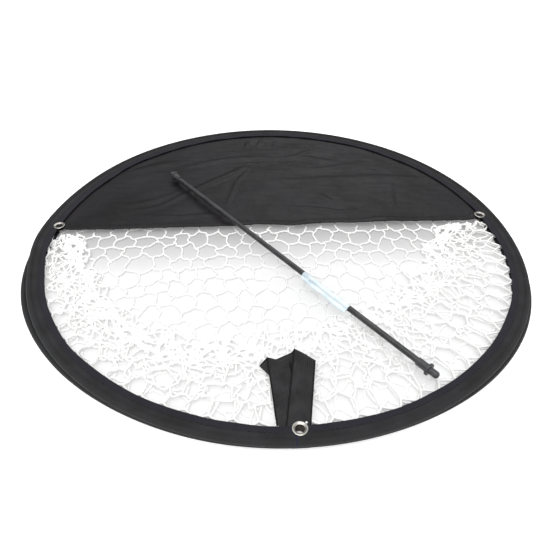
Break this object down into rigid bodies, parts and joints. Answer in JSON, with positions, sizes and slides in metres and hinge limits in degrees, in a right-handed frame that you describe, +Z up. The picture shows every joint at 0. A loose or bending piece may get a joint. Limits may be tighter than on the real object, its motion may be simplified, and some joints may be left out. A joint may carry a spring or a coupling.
{
  "type": "collapsible chipping net",
  "caption": "Folded practice net: two spring hoops in sewn bindings, white netting, a black panel, metal eyelets, a webbing carry loop and a loose prop rod.",
  "frame": {"origin": "on the ground, under the centre of the lower hoop", "axes": "+X across the mouth, -Y towards the carry strap, +Z up from the ground"},
  "size_m": [0.56, 0.56, 0.0211],
  "materials": {
    "binding": "ribbed woven tape, matt",
    "spring_wire": "drawn",
    "ferrule": "crimped",
    "thread": "polyester thread",
    "net_cord": "knotted cord",
    "panel_cloth": "thin nylon, slight sheen",
    "eyelet": "nickel plated",
    "webbing": "ribbed webbing",
    "rod": "satin black fibreglass",
    "plug": "moulded",
    "label": "pale film, blank"
  },
  "bodies": {
    "root": {"rear_sleeve": "binding", "rear_wire": "spring_wire", "rear_ferrule": "ferrule", "rear_stitching": "thread", "base_net": "net_cord", "wall_net": "net_cord", "joining_web": "binding", "panel": "panel_cloth", "panel_hem": "panel_cloth", "corner_patches": "panel_cloth", "front_far_sleeve": "binding", "front_far_wire": "spring_wire", "front_far_stitching": "thread", "side_eyelets": "eyelet", "side_washers": "eyelet", "rear_eyelet": "eyelet", "rear_washer": "eyelet"},
    "mouth_arc": {"front_near_sleeve": "binding", "front_near_wire": "spring_wire", "front_ferrule": "ferrule", "front_near_stitching": "thread", "near_eyelet": "eyelet", "near_washer": "eyelet", "strap_root": "webbing"},
    "strap": {"carry_strap": "webbing"},
    "rod": {"rod_shaft": "rod", "near_plug": "plug", "far_plug": "plug", "rod_label": "label"}
  },
  "joints": [
    {"name": "mouth_hinge", "type": "hinge", "parent": "root", "child": "mouth_arc", "pos_m": [0, 0.0165, 0.0123], "axis": [-1, 0, 0], "range_deg": [0, 96], "deforming": ["wall_net"]},
    {"name": "strap_flip", "type": "hinge", "parent": "mouth_arc", "child": "strap", "pos_m": [0, -0.2585, 0.0097], "axis": [1, 0, 0], "range_deg": [0, 120]},
    {"name": "rod_lift", "type": "slide", "parent": "root", "child": "rod", "axis": [0, 0, 1], "range_m": [0, 0.12]}
  ]
}
